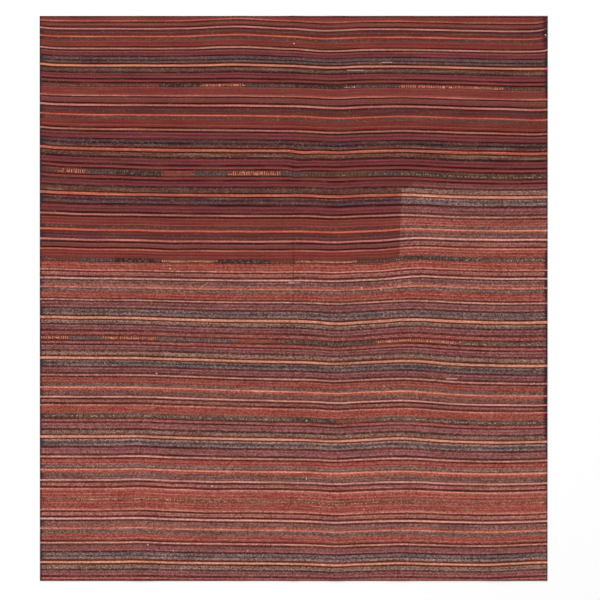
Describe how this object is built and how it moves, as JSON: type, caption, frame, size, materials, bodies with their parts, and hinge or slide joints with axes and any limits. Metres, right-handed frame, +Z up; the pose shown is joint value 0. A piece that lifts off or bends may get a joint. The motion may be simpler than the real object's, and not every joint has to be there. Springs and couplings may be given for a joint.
{
  "type": "kilim",
  "caption": "Small hand-woven striped wool kilim with brocaded zigzag rows and plain flush ends, lying flat on the floor.",
  "frame": {"origin": "middle of the cloth, at the level of the floor it lies on", "axes": "+Z up from the floor out of the worn face, +Y along the warp towards the end at the top of the view from above, +X to that view's right, along the stripes"},
  "size_m": [1.524, 1.694, 0.006],
  "materials": {
    "wool_flatweave": "matt weft-faced wool in narrow red, rust, cream, navy and brown stripes, worn and speckled"
  },
  "bodies": {
    "root": {"kilim_cloth": "wool_flatweave"}
  },
  "joints": []
}
